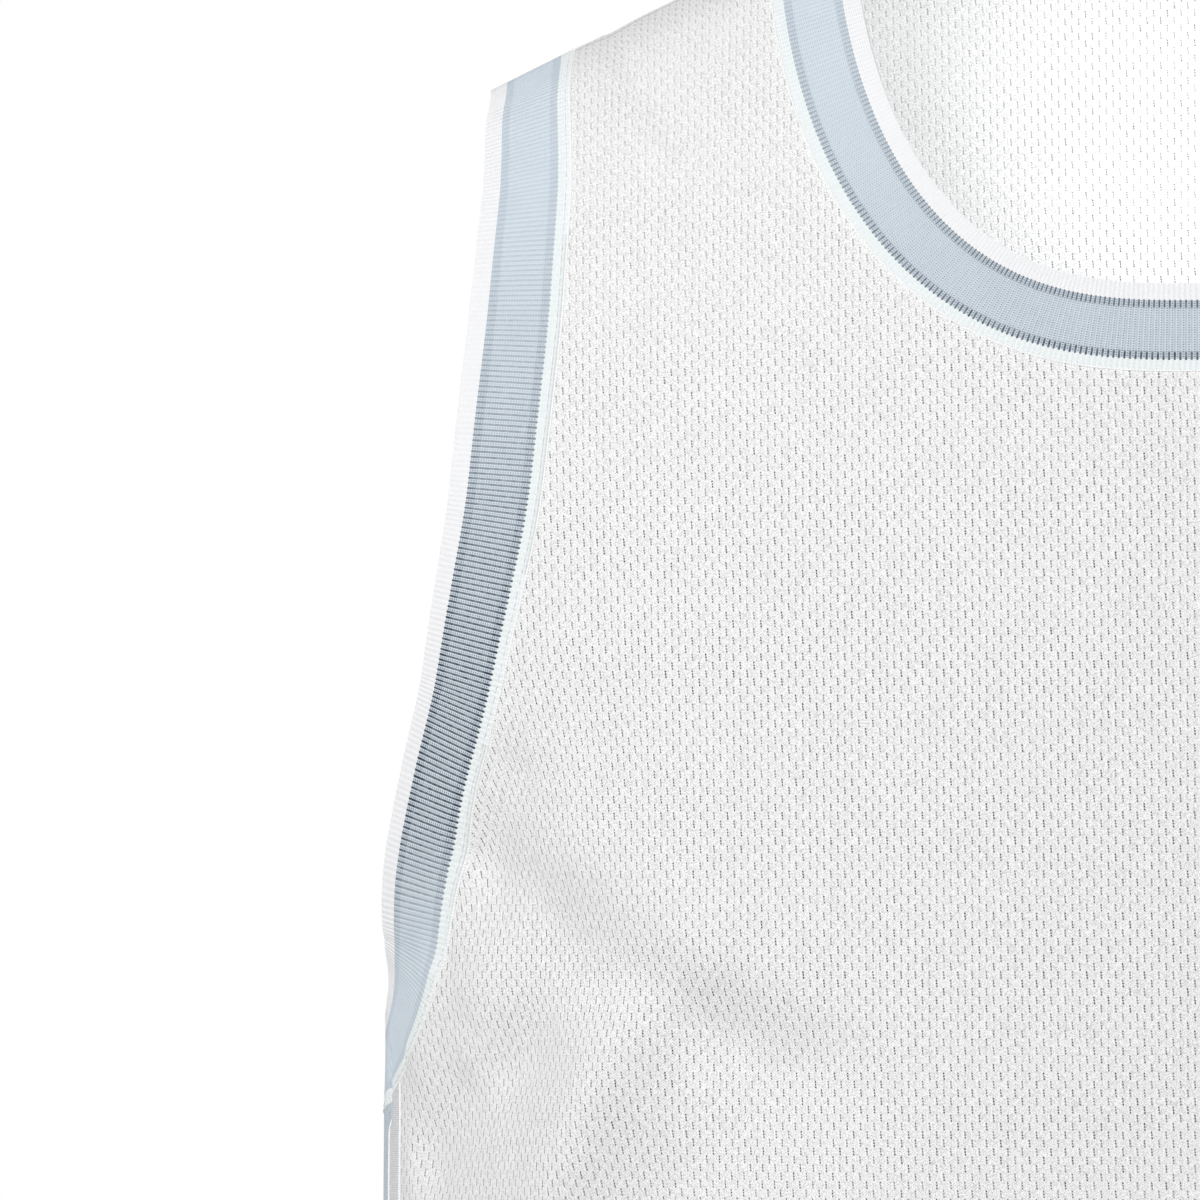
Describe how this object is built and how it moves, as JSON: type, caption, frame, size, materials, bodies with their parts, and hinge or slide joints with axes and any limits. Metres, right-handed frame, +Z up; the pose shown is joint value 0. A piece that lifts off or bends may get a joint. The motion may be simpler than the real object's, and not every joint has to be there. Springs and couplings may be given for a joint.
{
  "type": "basketball jersey",
  "caption": "Sleeveless mesh basketball jersey in its worn hollow shape, with striped rib bands at neck and armholes and pale blue side inserts.",
  "frame": {"origin": "between the two shoulders, on the centre plane, at the height of the middle of the straps where the wearer's shoulders carry the garment", "axes": "+Z up along the garment's length, the front faces -Y, the wearer's left side is at +X"},
  "size_m": [0.4475, 0.2433, 0.7781],
  "materials": {
    "white_mesh": "matt knitted mesh",
    "striped_rib": "matt rib knit",
    "blue_mesh": "matt knitted mesh",
    "white_strip": "matt knit"
  },
  "bodies": {
    "root": {"front_panel": "white_mesh", "back_panel": "white_mesh", "neck_rib": "striped_rib", "armhole_rib_left": "striped_rib", "armhole_rib_right": "striped_rib", "side_panel_left": "blue_mesh", "side_panel_right": "blue_mesh", "side_strip_front_left": "white_strip", "side_strip_back_left": "white_strip", "side_strip_front_right": "white_strip", "side_strip_back_right": "white_strip"}
  },
  "joints": []
}
